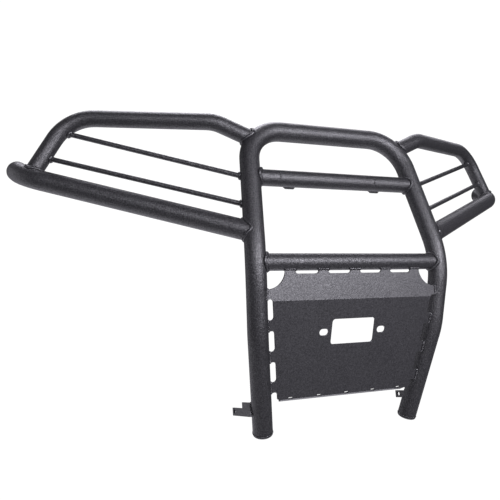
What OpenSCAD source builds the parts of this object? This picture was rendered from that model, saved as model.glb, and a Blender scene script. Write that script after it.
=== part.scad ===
// Front grille guard for a small utility vehicle: a bent tube hoop with two
// swept-back headlamp wings, and a winch plate welded between its legs.
// X runs across the vehicle, Y runs back towards it and Z runs up.
// The origin lies midway between the bolt holes of the two lower brackets.

/* [Tubes] */
// Outside diameter of the hoop
main_d = 38.1; // [38:0.1:40]
// Outside diameter of the lower wing tubes
wing_d = 37.7; // [35:0.1:37.7]
// Outside diameter of the cross tubes and of the upper wing tubes
cross_d = 31.75; // [30:0.05:33]
// Wall thickness of every tube
tube_wall = 2.4; // [1.6:0.1:3.2]
// Diameter of the solid rods in the wings
rod_d = 9.5; // [8:0.5:12]
// Thickness of the caps that close the tube ends
cap_t = 6; // [4:0.5:8]
// Radius on the edge of those caps
cap_edge_r = 4; // [2:0.5:4]

/* [Hoop] */
// Half of the distance between the two top corners
top_half_w = 171.5; // [165:0.5:178]
// Height of the top bar
top_z = 545.5; // [538:0.5:552]
// How far the top bar lies behind the bracket holes
top_y = 12.5; // [6:0.5:20]
// Half of the distance between the legs at the upper nose bend
nose_half_w = 202.5; // [200:0.5:205]
// Height of the upper nose bend
nose_top_z = 300.5; // [298:0.5:304]
// How far the upper nose bend lies in front of the bracket holes
nose_y = -110.5; // [-112:0.5:-109]
// Half of the distance between the legs at the lower nose bend
knee_half_w = 193.5; // [191:0.5:196]
// How far the lower nose bend lies in front of the bracket holes
knee_y = -105.5; // [-108:0.5:-104]
// Height of the lower nose bend
knee_z = 166; // [160:1:170]
// Half of the distance between the ends of the legs
foot_half_w = 163.5; // [161:0.5:166]
// How far the ends of the legs lie in front of the bracket holes
foot_y = -68; // [-71:0.5:-65]
// Height of the ends of the legs
foot_z = -23.5; // [-30:0.5:-20]
// Bend radius of the top corners, at the middle of the tube
corner_bend_r = 77; // [60:1:80]
// Bend radius at the nose, at the middle of the tube
nose_bend_r = 190; // [150:5:200]

/* [Cross tubes] */
// Height of the upper cross tube
upper_cross_z = 450.5; // [446:0.5:455]
// Height of the lower cross tube
mid_cross_z = 295.5; // [293:0.5:299]

/* [Wings] */
// Height at which a lower wing tube leaves its leg
wing_root_z = 348; // [344:0.5:352]
// Corner at the outer end of the right lower wing tube
wing_corner = [571, 144, 444];
// Direction in which the outer end of that tube is bent back
wing_tail_dir = [0.01, 0.98, 0.2];
// Length of the bent-back end, from the corner
wing_tail_l = 53; // [50:1:60]
// Bend radius at the outer end, at the middle of the tube
wing_tail_bend_r = 88; // [80:1:90]
// Point inside the hoop's right corner that the upper wing tube starts from
brow_root = [159, 0, 522.5];
// Inner corner of the right upper wing tube
brow_inner = [236, 22, 555];
// Outer corner of the right upper wing tube
brow_outer = [483.5, 153, 558.5];
// Point inside the lower wing tube that the upper one ends at
brow_foot = [554.5, 144, 440.5];
// Bend radius of the inner corner
brow_inner_bend_r = 69; // [60:1:75]
// Bend radius of the outer corner
brow_outer_bend_r = 80; // [70:1:85]
// Heights at which the two rods leave their leg
rod_root_z = [447.5, 395];
// Heights at which the two rods reach the upper wing tube
rod_tip_z = [530.5, 480.5];

/* [Winch plate] */
// Thickness of the plate
plate_t = 3.2; // [2.5:0.1:5]
// Height of the fold across the plate
fold_z = 227; // [223:1:231]
// Front face at the fold, in front of the bracket holes
fold_y = -122.9; // [-124:0.1:-121]
// Lean of the plate below the fold, in degrees
lower_lean = 9.1; // [8:0.1:10]
// Lean of the plate above the fold, in degrees
upper_lean = 7.5; // [6:0.1:9]
// Height of the bend along the bottom of the plate
lip_z = 40.5; // [39:0.5:44]
// Angle through which the bottom lip is bent back, in degrees
lip_bend = 55; // [45:1:65]
// Length of the bottom lip
lip_l = 16; // [12:1:20]
// Top edge of the plate between its upper tabs
plate_top_z = 275; // [272:0.5:277]
// Width of the upper tabs
top_tab_w = 20; // [16:1:24]
// Spacing of the upper tabs
top_tab_pitch = 68.2; // [66:0.1:70]
// Radius of the round cut-outs in the upper corners
corner_cut_r = 36; // [33:0.5:38]
// How far the middle of those cut-outs lies below the middle of the lower cross tube
corner_cut_drop = 11.5; // [10:0.5:13]
// How far the plate's sides reach above the fold
side_above_fold = 22; // [20:0.5:23]
// How far the ends of the bottom lip lie inside the line of the scallops
lip_short = 9; // [6:0.5:12]
// Width and height of the sloping step beside each end of the lip
lip_step = [10, 4];
// Height above the bottom bend at which the plate's bottom edge meets the legs
side_foot_rise = 12; // [10:0.5:14]
// Length of the scallops along the sides
scallop_l = 38.5; // [34:0.1:44]
// Spacing of the scallops along the sides
scallop_pitch = 58.1; // [57:0.1:59]
// Height of the top of the highest scallop
scallop_top_z = 231.5; // [229:0.5:234]
// Corner radius of the scallops and of the window
scallop_r = 6; // [4:0.5:7]
// Height of the cable window's middle
window_z = 165; // [160:1:170]
// Width and height of the cable window
window_size = [93.5, 48.5];
// Distance between the two fairlead bolt slots
fairlead_pitch = 126; // [123:0.1:128]
// Length and width of each fairlead bolt slot
fairlead_slot = [19, 12.7];
// Spacing of the slots along the bottom bend
stitch_pitch = 60; // [56:1:62]
// Length and width of the slots along the bottom bend
stitch_slot = [11, 6.5];

/* [Brackets] */
// Thickness of the brackets and the tabs
bracket_t = 3.2; // [3:0.1:5]
// Diameter of the mounting bolt holes
bolt_hole_d = 9; // [8:0.5:9.5]
// Inner face of each lower bracket, from the middle of the guard
bracket_face_x = 190; // [189:0.1:191]
// Slope of the lower brackets, in degrees
bracket_slope = 13; // [11:0.5:15]
// Height of each lower bracket's narrow part, around its bolt hole
bracket_h = 15; // [14:0.5:17]
// Length of that part in front of the hole and behind it
bracket_reach = [40.5, 10.5];
// How far each lower bracket steps up where it meets its leg
bracket_step = 11; // [9:0.5:13]
// Distance of the upper tabs from the middle of the guard
tab_x = 97; // [92:1:102]
// Width of the upper tabs
tab_w = 26; // [20:1:30]
// How far the tabs' front flanges reach below the middle of the cross tube
tab_down = 11.5; // [10:0.5:14]
// How far the tabs' front flanges reach above the middle of the cross tube
tab_up = 10; // [8:0.5:12]
// Length of the tabs' level flanges
tab_shelf_l = 28; // [26:1:32]
// How far the bolt holes lie behind the front of the level flanges
tab_hole_back = 16; // [15:0.5:17]

/* [Hidden] */
$fn = 48;

main_r = main_d / 2;
wing_r = wing_d / 2;
cross_r = cross_d / 2;
black = "#26262a";
// Room left around a cut
past = 5;
// Each bend is this much fuller than its straights, and takes in their ends
bend_swell = 0.1;

top = [top_half_w, top_y, top_z];
nose = [nose_half_w, nose_y, nose_top_z];
knee = [knee_half_w, knee_y, knee_z];
foot = [foot_half_w, foot_y, foot_z];
hoop_path = [mirrored(foot), mirrored(knee), mirrored(nose), mirrored(top), top, nose, knee, foot];
hoop_bends = [0, nose_bend_r, nose_bend_r, corner_bend_r, corner_bend_r, nose_bend_r, nose_bend_r, 0];

wing_path = [on_leg(wing_root_z), wing_corner, wing_corner + unit(wing_tail_dir) * wing_tail_l];
wing_bends = [0, wing_tail_bend_r, 0];
brow_path = [brow_root, brow_inner, brow_outer, brow_foot];
brow_bends = [0, brow_inner_bend_r, brow_outer_bend_r, 0];

// Front face of the plate at its bottom bend, as [y, z]
lip_corner = [fold_y + (fold_z - lip_z) * tan(lower_lean), lip_z];
// Sideways slope of the line along the scallops' inner sides, which follows the legs
side_slope = 0.144;
// That line's distance from the middle of the guard at the height of the fold
side_x = 172.8;
// Length of the open scallop at the bottom of each side, and depth of every scallop
open_scallop_l = 60;
// How far inside a leg's middle line the plate's edges run before they are fitted to the leg
into_leg = 5;
// How far in front of the bolt holes the lower brackets begin, inside their legs
bracket_root_l = 78;
// Size of the corners cut off the upper tabs
tab_chamfer = 4;
// Outer side of the outermost tab along the plate's top edge
tab_outer_x = 2 * top_tab_pitch + top_tab_w / 2;

function unit(v) = v / norm(v);
function mirrored(p) = [-p.x, p.y, p.z];
function between(a, b, z) = a + (b - a) * (z - a.z) / (b.z - a.z);
// Point on the middle line of the right leg's upper part, at height z
function on_leg(z) = between(nose, top, z);
// Angle through which a path turns at its point i
function turn(path, i) = acos(unit(path[i] - path[i - 1]) * unit(path[i + 1] - path[i]));
// Distance from the middle of the guard to the right leg's middle line, below the nose
function lower_leg_x(z) = z < knee_z ? between(foot, knee, z).x : between(knee, nose, z).x;
// Distance from the middle of the guard to the line along the scallops' inner sides
function scallop_x(z) = side_x + side_slope * (z - fold_z);
// Length that the bend at point i takes from each straight beside it
function bend_reach(path, bends, i) = bends[i] == 0 ? 0 : bends[i] * tan(turn(path, i) / 2);

// Turns the Z axis to the direction v
module aim(v) {
    rotate([0, acos(v.z / norm(v)), atan2(v.y, v.x)]) children();
}

module ring(r, bore_r) {
    difference() {
        circle(r = r);
        if (bore_r > 0) circle(r = bore_r);
    }
}

// Straight round bar or tube from a to b
module bar(a, b, r, bore_r = 0) {
    translate(a) aim(b - a) linear_extrude(height = norm(b - a)) ring(r, bore_r);
}

// Round bend at point i of a path
module bend(path, i, bend_r, r, bore_r) {
    way_in = unit(path[i] - path[i - 1]);
    way_out = unit(path[i + 1] - path[i]);
    angle = turn(path, i);
    start = path[i] - way_in * bend_r * tan(angle / 2);
    centre = path[i] + unit(way_out - way_in) * bend_r / cos(angle / 2);
    ex = unit(start - centre);
    ez = cross(ex, way_in);
    multmatrix([
        [ex.x, way_in.x, ez.x, centre.x],
        [ex.y, way_in.y, ez.y, centre.y],
        [ex.z, way_in.z, ez.z, centre.z],
        [0, 0, 0, 1]
    ])
        rotate_extrude(angle = angle)
            translate([bend_r, 0])
                ring(r + bend_swell, bore_r > 0 ? bore_r - bend_swell : 0);
}

// Round bar or tube that follows a path with round bends
module bent_bar(path, bends, r, bore_r = 0) {
    last = len(path) - 1;
    for (i = [0 : last - 1]) {
        along = unit(path[i + 1] - path[i]);
        from = i == 0 ? 0 : bend_reach(path, bends, i) - bend_swell;
        to = i + 1 == last ? 0 : bend_reach(path, bends, i + 1) - bend_swell;
        bar(path[i] + along * from, path[i + 1] - along * to, r, bore_r);
    }
    for (i = [1 : last - 1]) bend(path, i, bends[i], r, bore_r);
}

// The hoop's outside, as a solid that other pieces are fitted to
module hoop_solid() {
    bent_bar(hoop_path, hoop_bends, main_r);
}

module right_leg_solid() {
    bent_bar([top, nose, knee, foot], [0, nose_bend_r, nose_bend_r, 0], main_r);
}

// Disc with a rounded edge that closes a tube of radius r which ends at p, running along v
module end_cap(p, v, r) {
    translate(p) aim(v) rotate_extrude() {
        square([r - cap_edge_r, cap_t]);
        square([r, cap_t - cap_edge_r]);
        intersection() {
            translate([r - cap_edge_r, cap_t - cap_edge_r]) circle(r = cap_edge_r);
            translate([r - cap_edge_r, 0]) square([cap_edge_r, cap_t]);
        }
    }
}

// Straight tube across the guard, fitted between the legs
module cross_tube(y, z) {
    reach = nose_half_w;
    difference() {
        bar([-reach, y, z], [reach, y, z], cross_r, cross_r - tube_wall);
        hoop_solid();
        outside_hoop(z);
    }
}

// Space on the far side of both legs at height z
module outside_hoop(z) {
    inner = z > nose_top_z ? on_leg(z).x : nose_half_w;
    for (side = [-1, 1])
        translate([side * (inner + main_r + past), 0, z])
            cube([2 * (main_r + past), 2 * top_z, 4 * cross_r], center = true);
}

module rounded_rect(size, r) {
    square([size.x - 2 * r, size.y], center = true);
    square([size.x, size.y - 2 * r], center = true);
    for (x = [-1, 1])
        for (y = [-1, 1])
            translate([x * (size.x / 2 - r), y * (size.y / 2 - r)])
                circle(r = r);
}

// Slot with round ends
module slot(size) {
    square([size.x - size.y, size.y], center = true);
    for (x = [-1, 1])
        translate([x * (size.x - size.y) / 2, 0])
            circle(d = size.y);
}

module main_hoop() {
    color(black) bent_bar(hoop_path, hoop_bends, main_r, main_r - tube_wall);
}

module upper_cross_tube() {
    color(black) cross_tube(on_leg(upper_cross_z).y, upper_cross_z);
}

module mid_cross_tube() {
    color(black) cross_tube(knee_y, mid_cross_z);
}

// Side view of the plate, drawn as [y, z]: two panels and a bottom lip
module plate_profile() {
    lower_l = (fold_z - lip_z) / cos(lower_lean);
    upper_l = (mid_cross_z - fold_z) / cos(upper_lean);
    translate(lip_corner) rotate(lower_lean) square([plate_t, lower_l]);
    translate([fold_y, fold_z]) rotate(-upper_lean) square([plate_t, upper_l]);
    translate(lip_corner) rotate(lower_lean + lip_bend - 90) square([lip_l, plate_t]);
}

// Front view of a scallop whose top lies at height z
module scallop(z, length) {
    mid_z = z - length / 2;
    translate([scallop_x(mid_z), mid_z])
        rotate(-atan(side_slope))
            translate([open_scallop_l / 2, 0])
                rounded_rect([open_scallop_l, length], scallop_r);
}

// Everything that is cut from one side of the plate, in front view
module side_cuts() {
    for (i = [0 : 2]) scallop(scallop_top_z - i * scallop_pitch, scallop_l);
    scallop(scallop_top_z - 3 * scallop_pitch, open_scallop_l);
    translate([tab_outer_x + corner_cut_r, mid_cross_z - corner_cut_drop])
        circle(r = corner_cut_r);
    gap = [top_tab_pitch - top_tab_w, 2 * (mid_cross_z - plate_top_z)];
    for (i = [0, 1])
        translate([(i + 0.5) * top_tab_pitch, plate_top_z + gap.y / 2])
            rounded_rect(gap, scallop_r);
    translate([fairlead_pitch / 2, window_z])
        slot(fairlead_slot);
}

// Front view of the plate
module plate_outline() {
    corner_x = scallop_x(lip_z) - lip_short;
    foot_edge_z = lip_z + side_foot_rise;
    side_top_z = fold_z + side_above_fold;
    difference() {
        polygon([
            [0, lip_z - lip_l], [corner_x, lip_z - lip_l],
            [corner_x, lip_z - lip_step.y / 2], [corner_x + lip_step.x, lip_z + lip_step.y / 2],
            [lower_leg_x(foot_edge_z) - into_leg, foot_edge_z],
            [knee_half_w - into_leg, knee_z],
            [lower_leg_x(side_top_z) - into_leg, side_top_z],
            [tab_outer_x + corner_cut_r, side_top_z],
            [tab_outer_x, mid_cross_z], [0, mid_cross_z]
        ]);
        side_cuts();
    }
}

module winch_plate() {
    wide = 2 * nose_half_w;
    color(black) difference() {
        intersection() {
            rotate([90, 0, 90]) linear_extrude(height = wide, center = true) plate_profile();
            for (side = [0, 1])
                mirror([side, 0, 0])
                    rotate([90, 0, 0])
                        linear_extrude(height = wide, center = true)
                            plate_outline();
        }
        rotate([90, 0, 0]) linear_extrude(height = wide, center = true)
            translate([0, window_z]) rounded_rect(window_size, scallop_r);
        stitch_slots();
        right_leg_solid();
        mirror([1, 0, 0]) right_leg_solid();
        bar([-wide, knee_y, mid_cross_z], [wide, knee_y, mid_cross_z], cross_r);
    }
}

// Slots along the bottom bend, cut square to the middle of the bend
module stitch_slots() {
    for (i = [-2 : 2])
        translate([i * stitch_pitch, lip_corner.x, lip_corner.y])
            rotate([lower_lean + lip_bend / 2 - 90, 0, 0])
                linear_extrude(height = 4 * plate_t, center = true)
                    slot(stitch_slot);
}

module right_leg_cap() {
    color(black) end_cap(foot, foot - knee, main_r);
}

module left_leg_cap() {
    mirror([1, 0, 0]) right_leg_cap();
}

// Stepped plate on the outer side of the leg, with the bolt hole at its back end
module right_lower_bracket() {
    half = bracket_h / 2;
    top_edge = half + bracket_step;
    color(black) difference() {
        translate([bracket_face_x, 0, 0])
            rotate([90, 0, 90])
                rotate(-bracket_slope)
                    linear_extrude(height = bracket_t)
                        difference() {
                            polygon([
                                [-bracket_root_l, -half], [bracket_reach.y, -half],
                                [bracket_reach.y, half], [-bracket_reach.x, half],
                                [-bracket_reach.x, top_edge], [-bracket_root_l, top_edge]
                            ]);
                            circle(d = bolt_hole_d);
                        }
        right_leg_solid();
    }
}

module left_lower_bracket() {
    mirror([1, 0, 0]) right_lower_bracket();
}

// Angle on the back of the upper cross tube: a flange that leans with the hoop and a level one
module right_upper_tab() {
    lean = atan2(top.y - nose.y, top.z - nose.z);
    half = tab_w / 2;
    inner = half - tab_chamfer;
    shelf_y = cross_r * cos(lean) + tab_up * sin(lean);
    shelf_z = tab_up * cos(lean) - cross_r * sin(lean);
    color(black) translate([tab_x, on_leg(upper_cross_z).y, upper_cross_z]) {
        rotate([-lean, 0, 0])
            translate([0, cross_r + bracket_t, 0])
                rotate([90, 0, 0])
                    linear_extrude(height = bracket_t)
                        polygon([
                            [-inner, -tab_down], [inner, -tab_down],
                            [half, tab_chamfer - tab_down], [half, tab_up],
                            [-half, tab_up], [-half, tab_chamfer - tab_down]
                        ]);
        translate([0, shelf_y, shelf_z - bracket_t])
            linear_extrude(height = bracket_t)
                difference() {
                    polygon([
                        [-half, 0], [half, 0],
                        [half, tab_shelf_l - tab_chamfer], [inner, tab_shelf_l],
                        [-inner, tab_shelf_l], [-half, tab_shelf_l - tab_chamfer]
                    ]);
                    translate([0, tab_hole_back]) circle(d = bolt_hole_d);
                }
    }
}

module left_upper_tab() {
    mirror([1, 0, 0]) right_upper_tab();
}

module right_lower_wing_tube() {
    color(black) difference() {
        bent_bar(wing_path, wing_bends, wing_r, wing_r - tube_wall);
        right_leg_solid();
    }
}

module left_lower_wing_tube() {
    mirror([1, 0, 0]) right_lower_wing_tube();
}

module right_upper_wing_tube() {
    color(black) difference() {
        bent_bar(brow_path, brow_bends, cross_r, cross_r - tube_wall);
        hoop_solid();
        bent_bar(wing_path, wing_bends, wing_r);
    }
}

module left_upper_wing_tube() {
    mirror([1, 0, 0]) right_upper_wing_tube();
}

// Solid rod i of the right wing, fitted between the leg and the upper wing tube
module wing_rod(i) {
    difference() {
        bar(on_leg(rod_root_z[i]), between(brow_outer, brow_foot, rod_tip_z[i]), rod_d / 2);
        right_leg_solid();
        bent_bar(brow_path, brow_bends, cross_r);
    }
}

module right_upper_wing_rod() {
    color(black) wing_rod(0);
}

module left_upper_wing_rod() {
    mirror([1, 0, 0]) right_upper_wing_rod();
}

module right_lower_wing_rod() {
    color(black) wing_rod(1);
}

module left_lower_wing_rod() {
    mirror([1, 0, 0]) right_lower_wing_rod();
}

module right_wing_cap() {
    color(black) end_cap(wing_path[2], wing_path[2] - wing_path[1], wing_r);
}

module left_wing_cap() {
    mirror([1, 0, 0]) right_wing_cap();
}

main_hoop();
upper_cross_tube();
mid_cross_tube();
winch_plate();
left_leg_cap();
right_leg_cap();
left_lower_bracket();
right_lower_bracket();
left_upper_tab();
right_upper_tab();
left_lower_wing_tube();
right_lower_wing_tube();
left_upper_wing_tube();
right_upper_wing_tube();
left_upper_wing_rod();
right_upper_wing_rod();
left_lower_wing_rod();
right_lower_wing_rod();
left_wing_cap();
right_wing_cap();
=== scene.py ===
import functools
import math

import bmesh
import bpy
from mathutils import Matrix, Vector
from mathutils.bvhtree import BVHTree


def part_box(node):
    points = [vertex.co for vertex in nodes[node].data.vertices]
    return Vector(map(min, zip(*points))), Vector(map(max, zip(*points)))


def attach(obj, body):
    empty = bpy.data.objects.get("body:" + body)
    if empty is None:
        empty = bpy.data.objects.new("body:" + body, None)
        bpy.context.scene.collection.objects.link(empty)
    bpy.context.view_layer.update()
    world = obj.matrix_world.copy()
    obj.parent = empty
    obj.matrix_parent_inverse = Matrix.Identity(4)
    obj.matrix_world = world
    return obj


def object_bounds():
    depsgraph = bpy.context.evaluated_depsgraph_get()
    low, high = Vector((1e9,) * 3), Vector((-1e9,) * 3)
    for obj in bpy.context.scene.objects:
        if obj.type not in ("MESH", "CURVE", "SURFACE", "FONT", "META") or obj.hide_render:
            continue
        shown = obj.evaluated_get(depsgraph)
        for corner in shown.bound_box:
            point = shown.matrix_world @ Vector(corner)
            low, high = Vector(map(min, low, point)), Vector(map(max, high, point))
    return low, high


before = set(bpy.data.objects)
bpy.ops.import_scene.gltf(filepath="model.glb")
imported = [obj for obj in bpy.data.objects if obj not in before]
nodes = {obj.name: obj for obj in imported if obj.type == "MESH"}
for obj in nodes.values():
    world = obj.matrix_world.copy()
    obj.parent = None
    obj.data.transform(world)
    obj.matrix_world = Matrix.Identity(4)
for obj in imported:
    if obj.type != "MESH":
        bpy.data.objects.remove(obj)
cad_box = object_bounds()
SIDES = ("left", "right")


# ---- Shader nodes -----------------------------------------------------------

def add(tree, kind, **sockets):
    """A new shader node with some inputs set: From_Min=0.35 sets the input called From Min."""
    node = tree.nodes.new("ShaderNode" + kind)
    for socket, value in sockets.items():
        node.inputs[socket.replace("_", " ")].default_value = value
    return node


def empty_tree(owner):
    """The node tree of a material or a world, with nothing in it."""
    owner.use_nodes = True
    owner.node_tree.nodes.clear()
    return owner.node_tree


def grey(value):
    return (value, value, value, 1)


def ramp(tree, source, low, high, start, end):
    """Turns a value between start and end into a colour between low and high."""
    made = add(tree, "ValToRGB")
    first, last = made.color_ramp.elements
    first.position = start
    first.color = low
    last.position = end
    last.color = high
    tree.links.new(source, made.inputs["Fac"])
    return made.outputs["Color"]


def bump(tree, height, distance, strength, normal=None):
    """Raises a surface by a height between 0 and 1 times a distance in metres."""
    made = add(tree, "Bump", Strength=strength, Distance=distance)
    tree.links.new(height, made.inputs["Height"])
    if normal:
        tree.links.new(normal, made.inputs["Normal"])
    return made.outputs["Normal"]


# ---- Materials --------------------------------------------------------------
# Scales of noise are in features per metre, and depths are in metres

BLOTCH_SCALE = 300.0
DRIFT_SCALE = 14.0
DRIFT_SHARE = 0.35
GRAIN_STRENGTH = 0.55
PEEL_STRENGTH = 0.8
SHEEN_SPREAD = 0.06
PLAIN_SPECULAR = 0.5


def coat(name, base, rough, grain=900.0, grain_depth=0.00016, mottle=0.35, orange_peel=0.0012,
         speckle=380.0, speckle_depth=0.30):
    """Textured black powder coat.

    Its surface has a fine grain over a coarser orange peel. Blotches vary its tone by the share mottle,
    its roughness drifts slowly about rough, and small specks shine more or less than the rest.
    """
    mat = bpy.data.materials.new(name)
    nt = empty_tree(mat)
    out = add(nt, "OutputMaterial")
    bsdf = add(nt, "BsdfPrincipled")
    nt.links.new(bsdf.outputs["BSDF"], out.inputs["Surface"])
    place = add(nt, "TexCoord")

    def noise(scale, detail, roughness=0.6):
        made = add(nt, "TexNoise", Scale=scale, Detail=detail, Roughness=roughness)
        nt.links.new(place.outputs["Object"], made.inputs["Vector"])
        return made.outputs["Fac"]

    fine = noise(grain, detail=3.0)
    blotch = noise(BLOTCH_SCALE, detail=3.0)
    drift = noise(DRIFT_SCALE, detail=2.0, roughness=0.5)
    speck = noise(speckle, detail=2.0)

    dark = tuple(c * (1 - mottle) for c in base) + (1,)
    light = tuple(c * (1 + mottle) for c in base) + (1,)
    tone = ramp(nt, blotch, dark, light, start=0.3, end=0.7)
    nt.links.new(tone, bsdf.inputs["Base Color"])

    uneven = add(nt, "Math")
    uneven.operation = "MULTIPLY_ADD"
    uneven.inputs[1].default_value = DRIFT_SHARE
    nt.links.new(drift, uneven.inputs[0])
    nt.links.new(blotch, uneven.inputs[2])
    sheen = ramp(nt, uneven.outputs["Value"], grey(rough - SHEEN_SPREAD), grey(rough + SHEEN_SPREAD),
                 start=0.45, end=0.9)
    nt.links.new(sheen, bsdf.inputs["Roughness"])

    dull = grey(PLAIN_SPECULAR - speckle_depth)
    bright = grey(PLAIN_SPECULAR + speckle_depth)
    gloss = ramp(nt, speck, dull, bright, start=0.36, end=0.64)
    nt.links.new(gloss, bsdf.inputs["Specular IOR Level"])

    grained = bump(nt, fine, grain_depth, GRAIN_STRENGTH)
    nt.links.new(bump(nt, blotch, orange_peel, PEEL_STRENGTH, grained), bsdf.inputs["Normal"])
    return mat


def black(share=1.0):
    """The coat's black, a little blue, darkened or lightened by a share."""
    return tuple(c * share for c in (0.0090, 0.0088, 0.0098))


TUBE = coat("coat_tube", black(), rough=0.49, orange_peel=0.0009, speckle=450.0, speckle_depth=0.24)
SHEET = coat("coat_sheet", black(1.3), rough=0.50, grain=1000.0, mottle=0.3, orange_peel=0.0004,
             speckle_depth=0.15)
ROD = coat("coat_rod", black(0.9), rough=0.48, grain=1100.0, orange_peel=0.0006)
BEAD = coat("coat_weld", black(1.2), rough=0.40, grain=1400.0, grain_depth=0.0001, orange_peel=0.0003)

for name, node in nodes.items():
    if "plate" in name or "bracket" in name or "tab" in name:
        mat = SHEET
    elif "rod" in name:
        mat = ROD
    else:
        mat = TUBE
    for s in node.material_slots:
        s.material = mat


# ---- Seams, where one node meets another ------------------------------------

# Points of a mesh that are closer than this are one point
SAME_POINT = 2e-6


@functools.cache
def surface(name):
    """A node's surface, for finding what lies on it."""
    bm = bmesh.new()
    bm.from_mesh(nodes[name].data)
    bmesh.ops.remove_doubles(bm, verts=bm.verts, dist=SAME_POINT)
    tree = BVHTree.FromBMesh(bm)
    bm.free()
    return tree


def chains(pairs):
    """Joins edges, given as pairs of point keys, into open or closed runs."""
    links = {}
    for a, b in pairs:
        links.setdefault(a, []).append(b)
        links.setdefault(b, []).append(a)
    left = {frozenset(p) for p in pairs}
    runs = []
    starts = [k for k in links if len(links[k]) != 2] + list(links)
    for start in starts:
        while True:
            run = [start]
            while True:
                step = next((n for n in links[run[-1]] if frozenset((run[-1], n)) in left), None)
                if step is None:
                    break
                left.discard(frozenset((run[-1], step)))
                run.append(step)
                if step == start:
                    break
            if len(run) < 3:
                break
            runs.append(run)
    return runs


def seams(name, other, near=0.0003, turn=22.0):
    """The sharp edges of a node that lie on another node's surface, as lists of points."""
    tree = surface(other)
    bm = bmesh.new()
    bm.from_mesh(nodes[name].data)
    bmesh.ops.remove_doubles(bm, verts=bm.verts, dist=SAME_POINT)
    bm.normal_update()
    bm.verts.index_update()
    bm.verts.ensure_lookup_table()
    touching = {v.index for v in bm.verts if tree.find_nearest(v.co, near)[0] is not None}
    pairs = []
    for e in bm.edges:
        ends = [v.index for v in e.verts]
        if touching.issuperset(ends) and len(e.link_faces) == 2:
            if e.calc_face_angle(0.0) > math.radians(turn):
                pairs.append(ends)
    runs = [[bm.verts[i].co.copy() for i in run] for run in chains(pairs)]
    bm.free()
    return runs


def length_of(run):
    return sum((b - a).length for a, b in zip(run, run[1:]))


def outer_only(runs, apart=0.03):
    """Of the loops that share a middle, such as a tube's outside and bore, keeps the longest."""
    kept = []
    for run in sorted(runs, key=length_of, reverse=True):
        mid = sum(run, Vector()) / len(run)
        if all((mid - m).length > apart for m, _ in kept):
            kept.append((mid, run))
    return [r for _, r in kept]


# ---- Weld beads -------------------------------------------------------------

# The spacing of a bead's rings, and the shortest run that gets a bead, both in radii of the bead
RING_STEP = 0.22
SHORTEST_RUN = 3
# How often a run is smoothed, where the bead's radius is over THICK and where it isn't
THICK = 0.003
SMOOTH_THICK = 20
SMOOTH_THIN = 6
# A bead laid by hand swells and thins: the share, the turn in radians for each ring, and the start
SWELLS = ((0.05, 0.37, 0.0), (0.04, 0.113, 1.3))
# Radius of the flat left at a bead's rounded end, as a share of the bead's own
END_FLAT = 0.2
# A point deeper than this under the surface has the bead on its other side
BURIED = 0.0005


def resample(run, step, closed):
    """Points a step apart along a run. A closed one doesn't repeat its first point."""
    total = length_of(run)
    count = max(6, round(total / step))
    out = []
    walked = 0.0
    i = 0
    for k in range(count if closed else count + 1):
        target = total * k / count
        while i < len(run) - 2 and walked + (run[i + 1] - run[i]).length < target:
            walked += (run[i + 1] - run[i]).length
            i += 1
        seg = (run[i + 1] - run[i]).length
        out.append(run[i].lerp(run[i + 1], min(1.0, (target - walked) / seg) if seg else 0.0))
    return out


def smooth(points, closed, times):
    for _ in range(times):
        n = len(points)
        fresh = []
        for i, p in enumerate(points):
            if not closed and i in (0, n - 1):
                fresh.append(p)
            else:
                fresh.append((points[i - 1] + p * 2 + points[(i + 1) % n]) / 4)
        points = fresh
    return points


def rippled(phase, ripple):
    """The share of the radius at a place between 0 and 1 in one ripple: full in its middle."""
    return 1 + ripple * (0.5 - 2 * abs(2 * phase - 1) ** 1.5)


def hand_laid(i):
    """The share of the radius that the hand's unevenness gives ring i."""
    return 1 + sum(share * math.sin(i * turn + start) for share, turn, start in SWELLS)


def end_shape(away, ends):
    """The share of the radius at a distance, in radii, from an open bead's end: rounded at the tip, and
    ends times as full one radius in."""
    swell = 1 + (ends - 1) * math.exp(-(away - 1) ** 2)
    if away >= 1:
        return swell
    return swell * max(END_FLAT, math.sqrt(away * (2 - away)))


def sweep(bm, run, tree, r, pitch, ripple, sides, lift, ends):
    """Adds one bead along a run to bm."""
    closed = (run[0] - run[-1]).length < SAME_POINT
    times = SMOOTH_THICK if r > THICK else SMOOTH_THIN
    pts = smooth(resample(run, r * RING_STEP, closed), closed, times)
    n = len(pts)
    waves = max(1, round(length_of(run) / pitch))
    rings = []
    for i, p in enumerate(pts):
        a = pts[i - 1] if closed or i > 0 else p
        b = pts[(i + 1) % n] if closed or i < n - 1 else p
        along = (b - a).normalized()
        spot, up, _, _ = tree.find_nearest(p)
        if (p - spot).dot(up) < -BURIED:
            up = -up
        up = (up - along * up.dot(along)).normalized()
        side = along.cross(up)
        radius = r * rippled(i / n * waves % 1.0, ripple) * hand_laid(i)
        if not closed:
            radius *= end_shape(min(i, n - 1 - i) * RING_STEP, ends)
        centre = p + up * (r * lift)
        ring = []
        for k in range(sides):
            ang = 2 * math.pi * k / sides
            ring.append(bm.verts.new(centre + (up * math.cos(ang) + side * math.sin(ang)) * radius))
        rings.append(ring)
    for i in range(n if closed else n - 1):
        ra, rb = rings[i], rings[(i + 1) % n]
        for k in range(sides):
            bm.faces.new((ra[k], ra[(k + 1) % sides], rb[(k + 1) % sides], rb[k]))
    if not closed:
        bm.faces.new(list(reversed(rings[0])))
        bm.faces.new(rings[-1])


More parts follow.
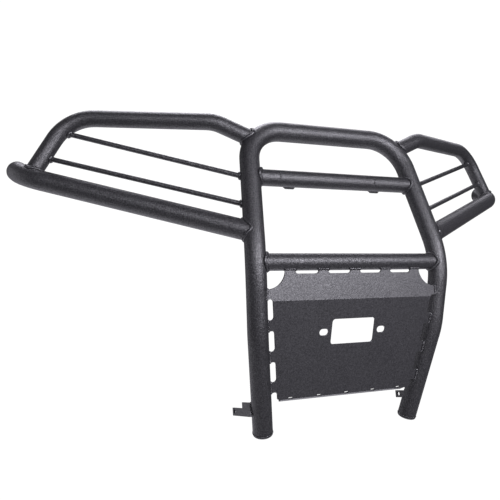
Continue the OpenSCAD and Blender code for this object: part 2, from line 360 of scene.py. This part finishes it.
def bead(name, runs, other, r, pitch=0.0026, ripple=0.12, slots="tube_coat", sides=10, lift=0.15,
         ends=1.0):
    """A weld bead along each run, lying against the surface of another node.

    r is its radius and pitch the length of its ripples. In shares of r, ripple is their depth, lift is
    how far its middle stands off the surface, and ends is how full an open bead is near its ends.
    """
    tree = surface(other)
    bm = bmesh.new()
    for run in runs:
        if length_of(run) >= SHORTEST_RUN * r:
            sweep(bm, run, tree, r, pitch, ripple, sides, lift, ends)
    bmesh.ops.recalc_face_normals(bm, faces=bm.faces)
    mesh = bpy.data.meshes.new(name)
    bm.to_mesh(mesh)
    bm.free()
    for f in mesh.polygons:
        f.use_smooth = True
    obj = bpy.data.objects.new(name, mesh)
    bpy.context.scene.collection.objects.link(obj)
    mesh.materials.append(BEAD)
    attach(obj, "root")


# The kinds of bead, by what they join
CROSS_WELD = dict(r=0.0036, lift=0.4)
WING_WELD = dict(r=0.0036, lift=0.05)
BROW_FOOT_WELD = dict(r=0.0034)
ROD_ROOT_WELD = dict(r=0.0034, pitch=0.0022, lift=0.3)
ROD_TIP_WELD = dict(r=0.0036, pitch=0.0022, lift=0.2)
BRACKET_WELD = dict(r=0.0020, pitch=0.0020, slots="plate_coat", sides=8)
PLATE_SIDE_WELD = dict(BRACKET_WELD, r=0.0022, ends=1.4)
PLATE_TOP_WELD = dict(BRACKET_WELD, r=0.0024, ends=1.4)
TAB_WELD = dict(BRACKET_WELD, r=0.0021)
TAB_MARK = dict(r=0.0017, pitch=0.0016, sides=8, lift=0.0)
CAP_RIM = dict(r=0.0008, ripple=0.05, sides=6, lift=0.0)

for which in ("upper", "mid"):
    bead("weld_%s_cross" % which, outer_only(seams(which + "_cross_tube", "main_hoop")), "main_hoop",
         **CROSS_WELD)
for side in SIDES:
    low, high = side + "_lower_wing_tube", side + "_upper_wing_tube"
    bead("weld_%s_wing_root" % side, outer_only(seams(low, "main_hoop")), "main_hoop", **WING_WELD)
    bead("weld_%s_brow_root" % side, outer_only(seams(high, "main_hoop")), "main_hoop", **CROSS_WELD)
    bead("weld_%s_brow_foot" % side, outer_only(seams(high, low)), low, **BROW_FOOT_WELD)
    for which in ("upper", "lower"):
        rod = "%s_%s_wing_rod" % (side, which)
        bead("weld_%s_root" % rod, seams(rod, "main_hoop"), "main_hoop", **ROD_ROOT_WELD)
        bead("weld_%s_tip" % rod, seams(rod, high), high, **ROD_TIP_WELD)
    bracket = side + "_lower_bracket"
    bead("weld_" + bracket, seams(bracket, "main_hoop"), "main_hoop", **BRACKET_WELD)
    for cap, tube in ((side + "_leg_cap", "main_hoop"), (side + "_wing_cap", low)):
        bead("rim_" + cap, outer_only(seams(cap, tube)), tube, **CAP_RIM)
bead("weld_plate_sides", seams("winch_plate", "main_hoop"), "main_hoop", **PLATE_SIDE_WELD)
bead("weld_plate_top", seams("winch_plate", "mid_cross_tube"), "mid_cross_tube", **PLATE_TOP_WELD)


# ---- Welds of the upper tabs ------------------------------------------------
# Each tab touches the back of the upper cross tube along a line, with a bead above the line and one
# below it. Where the weld's heat came through, the front of the tube has a short curved mark.

# The tabs lean back as the hoop's upper legs do, by this run over this rise
LEAN = math.atan2(0.123, 0.245)
TAB_BACK = Vector((0, math.cos(LEAN), -math.sin(LEAN)))
TAB_UP = Vector((0, math.sin(LEAN), math.cos(LEAN)))
BEADS_UP = (-0.0085, 0.0075)
BEAD_SUNK = 0.001
BEAD_SHORT = 0.003
MARK_X = {"left": -0.130, "right": 0.080}
MARK_FROM, MARK_SPAN = math.radians(-6), math.radians(52)
MARK_BULGE = 0.003
MARK_SUNK = 0.0004
STEPS = 12

cross_low, cross_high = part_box("upper_cross_tube")
axis_y = (cross_low[1] + cross_high[1]) / 2
axis_z = (cross_low[2] + cross_high[2]) / 2
cross_r = (cross_high[2] - cross_low[2]) / 2


def tab_run(x0, x1, up):
    """A straight run across a tab on the back of the cross tube, at a height above its middle."""
    at = Vector((0, axis_y, axis_z)) + TAB_BACK * (cross_r - BEAD_SUNK) + TAB_UP * up
    return [at + Vector((x0 + (x1 - x0) * k / STEPS, 0, 0)) for k in range(STEPS + 1)]


def mark_point(x, share):
    """A place between 0 and 1 along the mark that runs up over the front of the cross tube at x."""
    ang = MARK_FROM + MARK_SPAN * share
    return Vector((x + MARK_BULGE * math.sin(math.pi * share),
                   axis_y - (cross_r - MARK_SUNK) * math.cos(ang),
                   axis_z + (cross_r - MARK_SUNK) * math.sin(ang)))


for side in SIDES:
    tab_low, tab_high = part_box(side + "_upper_tab")
    runs = [tab_run(tab_low[0] + BEAD_SHORT, tab_high[0] - BEAD_SHORT, up) for up in BEADS_UP]
    bead("weld_%s_upper_tab" % side, runs, "upper_cross_tube", **TAB_WELD)
    arc = [mark_point(MARK_X[side], k / STEPS) for k in range(STEPS + 1)]
    bead("weld_%s_tab_mark" % side, [arc], "upper_cross_tube", **TAB_MARK)


# ---- Floor ------------------------------------------------------------------

WHITE_GLOW = 1.05
FLOOR_GAP = 0.001
FLOOR_REACH = 14.0


def pale_floor():
    """White where the camera looks at it from above, and clear to every other ray, so that it neither
    lights the object nor hides it from below."""
    mat = bpy.data.materials.new("pale_floor")
    nt = empty_tree(mat)
    out = add(nt, "OutputMaterial")
    white = add(nt, "Emission", Strength=WHITE_GLOW)
    clear = add(nt, "BsdfTransparent")
    rays = add(nt, "LightPath")
    face = add(nt, "NewGeometry")
    shown = add(nt, "Math")
    shown.operation = "SUBTRACT"
    shown.use_clamp = True
    nt.links.new(rays.outputs["Is Camera Ray"], shown.inputs[0])
    nt.links.new(face.outputs["Backfacing"], shown.inputs[1])
    mix = add(nt, "MixShader")
    nt.links.new(shown.outputs["Value"], mix.inputs["Fac"])
    nt.links.new(clear.outputs["BSDF"], mix.inputs[1])
    nt.links.new(white.outputs["Emission"], mix.inputs[2])
    nt.links.new(mix.outputs["Shader"], out.inputs["Surface"])
    return mat


floor_z = cad_box[0][2] - FLOOR_GAP
corners = [(x * FLOOR_REACH, y * FLOOR_REACH, floor_z) for x, y in ((-1, -1), (1, -1), (1, 1), (-1, 1))]
mesh = bpy.data.meshes.new("floor")
mesh.from_pydata(corners, [], [(0, 1, 2, 3)])
mesh.materials.append(pale_floor())
floor = bpy.data.objects.new("floor", mesh)
bpy.context.scene.collection.objects.link(floor)


# ---- Light ------------------------------------------------------------------

LIGHT_COLOUR = (1.0, 0.98, 1.08)
MIDDLE = Vector((0, 0, 0.26))
LIGHT_DISTANCE = 2.6
GLOW_FROM = Vector((0.0, 0.38, -0.925)).normalized()


def studio():
    """White behind the object, and a glow on it that is strongest from below and a little behind."""
    world = bpy.data.worlds.new("studio")
    nt = empty_tree(world)
    out = add(nt, "OutputWorld")
    seen = add(nt, "Background", Color=grey(1), Strength=WHITE_GLOW)
    lit = add(nt, "Background", Color=LIGHT_COLOUR + (1,))
    toward = add(nt, "TexCoord")
    dot = add(nt, "VectorMath")
    dot.operation = "DOT_PRODUCT"
    dot.inputs[1].default_value = GLOW_FROM
    nt.links.new(toward.outputs["Generated"], dot.inputs[0])
    glow = add(nt, "MapRange", From_Min=0.35, From_Max=0.97, To_Min=0.10, To_Max=1.9)
    glow.interpolation_type = "SMOOTHSTEP"
    nt.links.new(dot.outputs["Value"], glow.inputs["Value"])
    nt.links.new(glow.outputs["Result"], lit.inputs["Strength"])
    rays = add(nt, "LightPath")
    mix = add(nt, "MixShader")
    nt.links.new(rays.outputs["Is Camera Ray"], mix.inputs["Fac"])
    nt.links.new(lit.outputs["Background"], mix.inputs[1])
    nt.links.new(seen.outputs["Background"], mix.inputs[2])
    nt.links.new(mix.outputs["Shader"], out.inputs["Surface"])
    return world


def softbox(name, toward, width, height, watts):
    """An area light that stands off in a direction from the object's middle and faces it."""
    where = MIDDLE + Vector(toward).normalized() * LIGHT_DISTANCE
    light = bpy.data.lights.new(name, "AREA")
    light.shape = "RECTANGLE"
    light.size = width
    light.size_y = height
    light.energy = watts
    light.color = LIGHT_COLOUR
    obj = bpy.data.objects.new(name, light)
    obj.location = where
    obj.rotation_euler = (MIDDLE - where).to_track_quat("-Z", "Y").to_euler()
    bpy.context.scene.collection.objects.link(obj)


bpy.context.scene.world = studio()
softbox("key", (0.28, -0.88, 0.38), 1.2, 0.75, 130)
softbox("fill", (-0.45, -0.81, 0.43), 0.7, 0.45, 42)
softbox("back", (0.05, 0.60, 0.80), 1.8, 1.2, 60)
softbox("rim_left", (-0.85, 0.50, 0.08), 2.0, 2.0, 14)
softbox("rim_right", (0.62, 0.50, 0.60), 1.2, 1.2, 14)


# ---- Camera -----------------------------------------------------------------
# It looks at the object's front from the left and a little above its middle

cam = bpy.data.cameras.new("camera")
cam.sensor_width = 36
cam.lens = 47.87
cam.shift_x = -0.0674
cam.shift_y = 0.0134
camera = bpy.data.objects.new("camera", cam)
camera.location = (-0.6665, -1.1826, 0.3575)
camera.rotation_euler = [math.radians(turn) for turn in (87.49, -1.14, -25.76)]
bpy.context.scene.collection.objects.link(camera)
bpy.context.scene.camera = camera
bpy.context.scene.view_settings.view_transform = "Standard"
